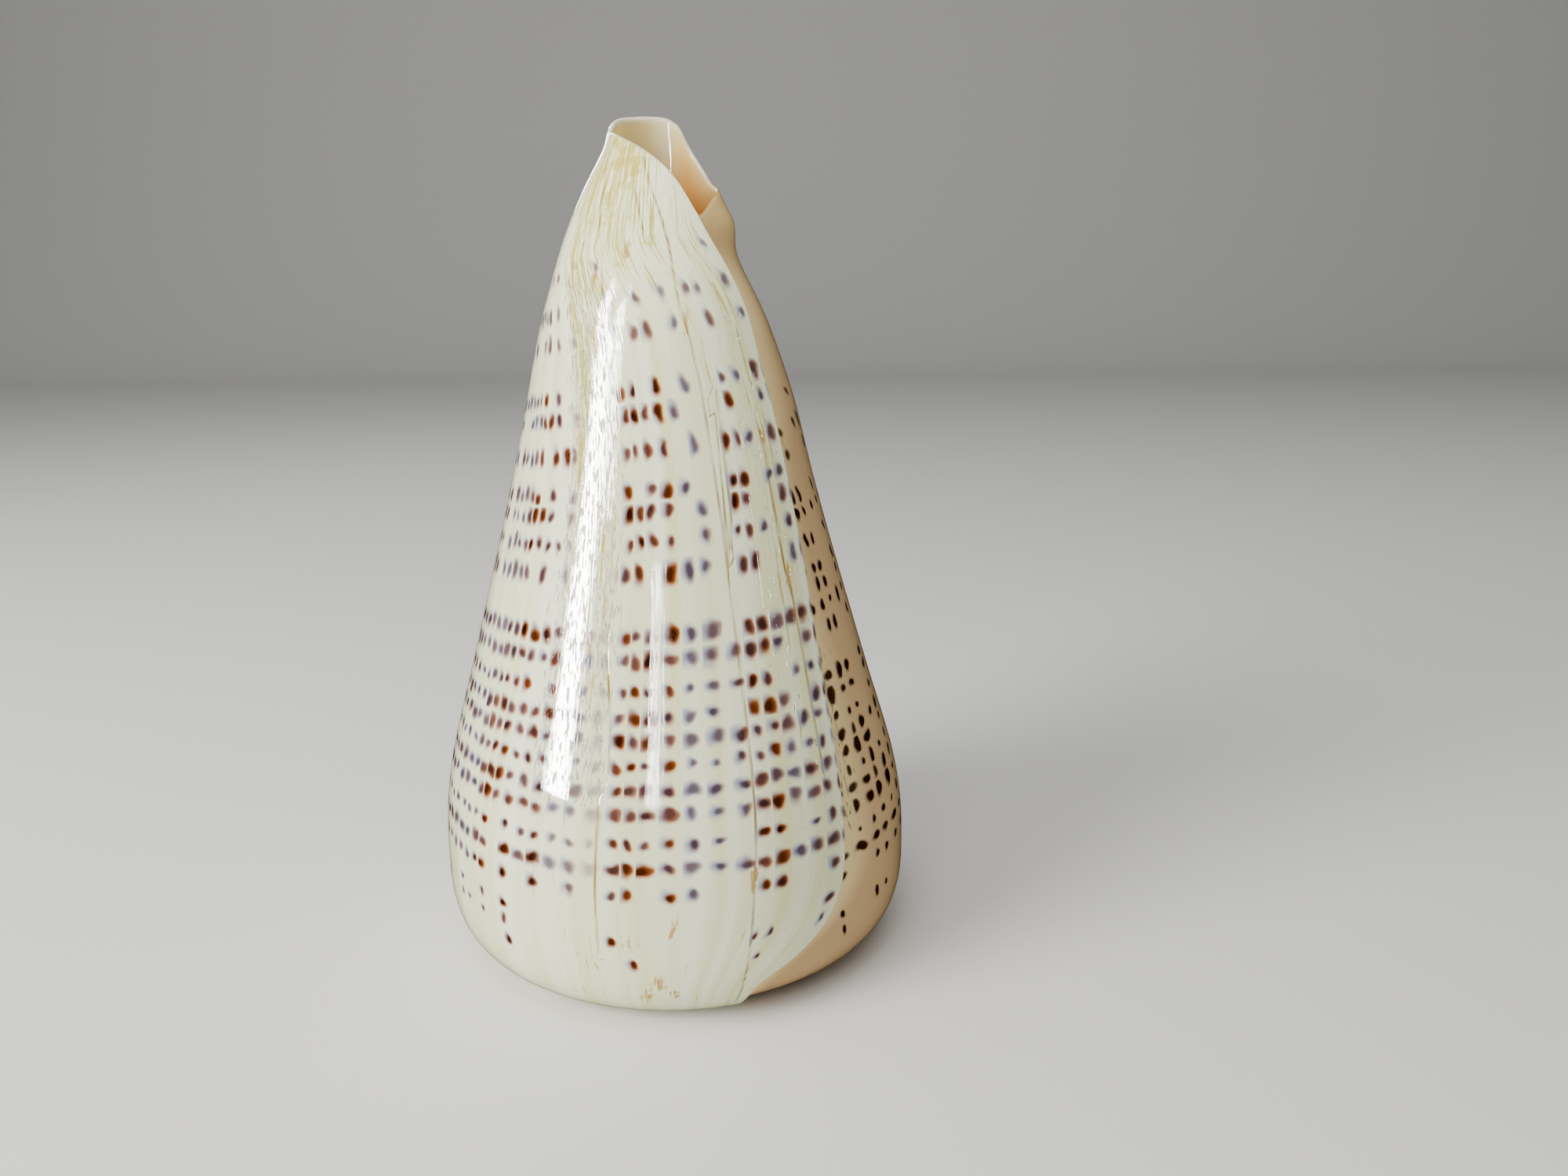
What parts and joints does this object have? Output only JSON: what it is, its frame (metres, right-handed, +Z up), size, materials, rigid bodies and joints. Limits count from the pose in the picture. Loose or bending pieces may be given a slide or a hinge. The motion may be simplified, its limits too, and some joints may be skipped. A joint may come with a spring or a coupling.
{
  "type": "cone shell",
  "caption": "Large polished cone shell on its flat spire, front end up, with a long narrow aperture behind a thin lip, an open siphonal canal and rows of dark dots on cream",
  "frame": {"origin": "Centre of the bounding box's base, on the surface that the flat spire rests on", "axes": "+Z up along the shell's axis from the spire to the front end; -Y towards the picture's camera; +X to its right, the side of the aperture"},
  "size_m": [0.0614, 0.0624, 0.105],
  "materials": {
    "shell": "polished"
  },
  "bodies": {
    "root": {"cone_shell": "shell"}
  },
  "joints": []
}
